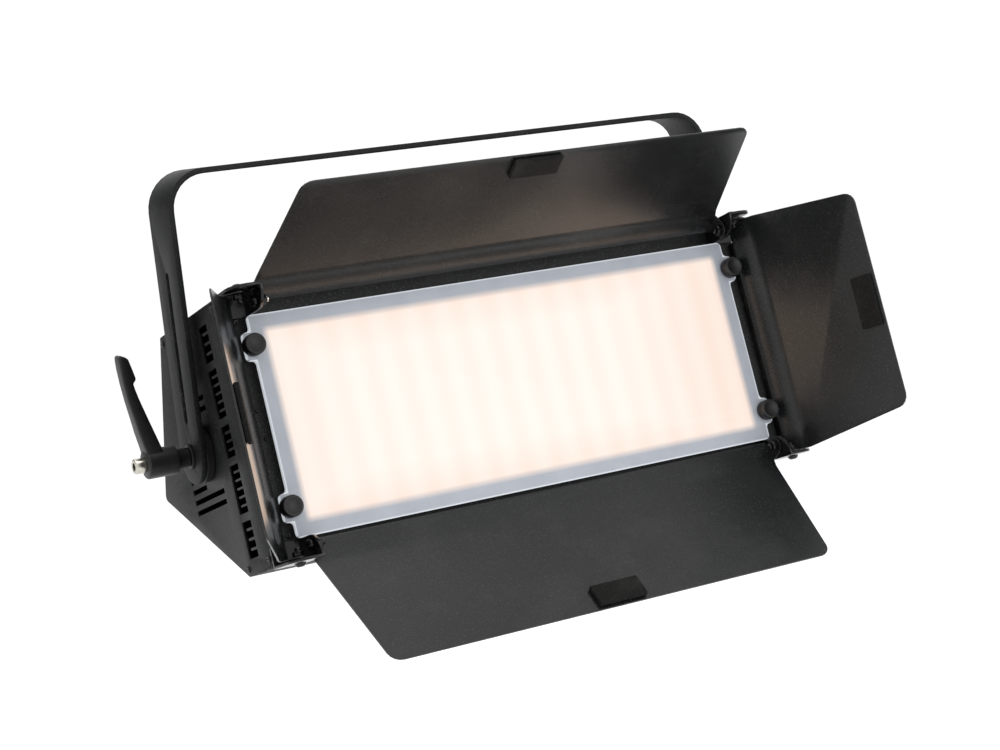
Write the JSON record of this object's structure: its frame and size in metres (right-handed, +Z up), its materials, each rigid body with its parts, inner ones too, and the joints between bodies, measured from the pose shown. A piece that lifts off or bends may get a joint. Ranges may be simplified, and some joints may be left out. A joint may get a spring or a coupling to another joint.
{
  "type": "led panel light",
  "caption": "Wedge-backed LED panel light with hinged barn doors, frosted diffuser sheet and vented steel housing, tilting in a slotted steel yoke with clamp levers.",
  "frame": {"origin": "centre of the bolt hole, on the top face of the yoke's crossbar", "axes": "+Z up out of the crossbar, +X along the crossbar and the tilt axis, the light shines towards -Y"},
  "size_m": [0.5342, 0.2965, 0.3249],
  "materials": {
    "black_powder_coat": "satin powder coat with fine speckle",
    "gloss_black_steel": "gloss",
    "black_plastic": "moulded",
    "nickel": "nickel plated",
    "frosted_sheet": "frosted",
    "black_foam": "foam",
    "white_reflector": "white",
    "emitter_board": "white solder mask",
    "circuit_board": "green board",
    "aluminium": "extruded",
    "power_case": "zinc plated",
    "display_glass": "gloss"
  },
  "bodies": {
    "yoke": {"yoke": "black_powder_coat", "lever_washer_left": "gloss_black_steel", "lever_washer_right": "gloss_black_steel"},
    "lever_left": {"tilt_lever_left": "black_plastic", "lever_screw_left": "nickel"},
    "lever_right": {"tilt_lever_right": "black_plastic", "lever_screw_right": "nickel"},
    "door_top": {"barn_door_top": "black_powder_coat", "door_pad_top": "black_foam"},
    "door_bottom": {"barn_door_bottom": "black_powder_coat", "door_pad_bottom": "black_foam"},
    "door_left": {"barn_door_left": "black_powder_coat", "door_pad_left": "black_foam"},
    "door_right": {"barn_door_right": "black_powder_coat", "door_pad_right": "black_foam"},
    "knob_bottom_left": {"knob_bottom_left": "black_plastic"},
    "knob_bottom_right": {"knob_bottom_right": "black_plastic"},
    "knob_top_left": {"knob_top_left": "black_plastic"},
    "knob_top_right": {"knob_top_right": "black_plastic"},
    "menu_button_1": {"menu_button_1": "black_plastic"},
    "menu_button_2": {"menu_button_2": "black_plastic"},
    "menu_button_3": {"menu_button_3": "black_plastic"},
    "menu_button_4": {"menu_button_4": "black_plastic"},
    "housing": {"bracket_bottom_left": "gloss_black_steel", "bracket_bottom_right": "gloss_black_steel", "bracket_top_left": "gloss_black_steel", "bracket_top_right": "gloss_black_steel", "data_inlet": "black_plastic", "data_outlet": "black_plastic", "diffuser": "frosted_sheet", "display": "display_glass", "driver_board": "circuit_board", "front_plate": "black_powder_coat", "fuse_holder": "black_plastic", "heat_plate": "aluminium", "hinge_bolt_bottom_1": "gloss_black_steel", "hinge_bolt_bottom_2": "gloss_black_steel", "hinge_bolt_left_1": "gloss_black_steel", "hinge_bolt_left_2": "gloss_black_steel", "hinge_bolt_right_1": "gloss_black_steel", "hinge_bolt_right_2": "gloss_black_steel", "hinge_bolt_top_1": "gloss_black_steel", "hinge_bolt_top_2": "gloss_black_steel", "led_board": "emitter_board", "light_box": "white_reflector", "power_inlet": "black_plastic", "power_supply": "power_case", "rear_cover": "black_powder_coat", "safety_eye": "gloss_black_steel", "side_plate_left": "black_powder_coat", "side_plate_right": "black_powder_coat", "spacer_bottom_left": "nickel", "spacer_bottom_right": "nickel", "spacer_top_left": "nickel", "spacer_top_right": "nickel", "tilt_disc_left": "black_plastic", "tilt_disc_right": "black_plastic", "tilt_stud_left": "gloss_black_steel", "tilt_stud_right": "gloss_black_steel"}
  },
  "joints": [
    {"name": "housing_tilt", "type": "hinge", "parent": "yoke", "child": "housing", "pos_m": [0, 0, -0.198], "axis": [-1, 0, 0], "range_deg": [-120, 25]},
    {"name": "tilt_lever_left", "type": "hinge", "parent": "yoke", "child": "lever_left", "pos_m": [0, 0, -0.198], "axis": [-1, 0, 0], "continuous": true},
    {"name": "tilt_lever_right", "type": "hinge", "parent": "yoke", "child": "lever_right", "pos_m": [0, 0, -0.198], "axis": [1, 0, 0], "continuous": true},
    {"name": "door_top", "type": "hinge", "parent": "housing", "child": "door_top", "pos_m": [0, -0.07593, -0.09157], "axis": [1, 0, 0], "range_deg": [-55, 112]},
    {"name": "door_bottom", "type": "hinge", "parent": "housing", "child": "door_bottom", "pos_m": [0, -0.11859, -0.25303], "axis": [-1, 0, 0], "range_deg": [-28, 142]},
    {"name": "door_left", "type": "hinge", "parent": "housing", "child": "door_left", "pos_m": [-0.2027, -0.0962, -0.17258], "axis": [0, 0.2554, 0.9668], "range_deg": [-11, 94]},
    {"name": "door_right", "type": "hinge", "parent": "housing", "child": "door_right", "pos_m": [0.2027, -0.0962, -0.17258], "axis": [0, -0.2554, -0.9668], "range_deg": [-17, 87]},
    {"name": "knob_turn_bottom_left", "type": "hinge", "parent": "housing", "child": "knob_bottom_left", "pos_m": [-0.1967, -0.0988, -0.2294], "axis": [0, -0.9668, 0.2554], "continuous": true},
    {"name": "knob_turn_bottom_right", "type": "hinge", "parent": "housing", "child": "knob_bottom_right", "pos_m": [0.1967, -0.0988, -0.2294], "axis": [0, -0.9668, 0.2554], "continuous": true},
    {"name": "knob_turn_top_left", "type": "hinge", "parent": "housing", "child": "knob_top_left", "pos_m": [-0.1967, -0.07039, -0.12189], "axis": [0, -0.9668, 0.2554], "continuous": true},
    {"name": "knob_turn_top_right", "type": "hinge", "parent": "housing", "child": "knob_top_right", "pos_m": [0.1967, -0.07039, -0.12189], "axis": [0, -0.9668, 0.2554], "continuous": true},
    {"name": "menu_button_1_press", "type": "slide", "parent": "housing", "child": "menu_button_1", "axis": [0, -0.965, -0.2622], "range_m": [0, 0.0015], "stiffness_N_per_m": 200},
    {"name": "menu_button_2_press", "type": "slide", "parent": "housing", "child": "menu_button_2", "axis": [0, -0.965, -0.2622], "range_m": [0, 0.0015], "stiffness_N_per_m": 200},
    {"name": "menu_button_3_press", "type": "slide", "parent": "housing", "child": "menu_button_3", "axis": [0, -0.965, -0.2622], "range_m": [0, 0.0015], "stiffness_N_per_m": 200},
    {"name": "menu_button_4_press", "type": "slide", "parent": "housing", "child": "menu_button_4", "axis": [0, -0.965, -0.2622], "range_m": [0, 0.0015], "stiffness_N_per_m": 200}
  ]
}
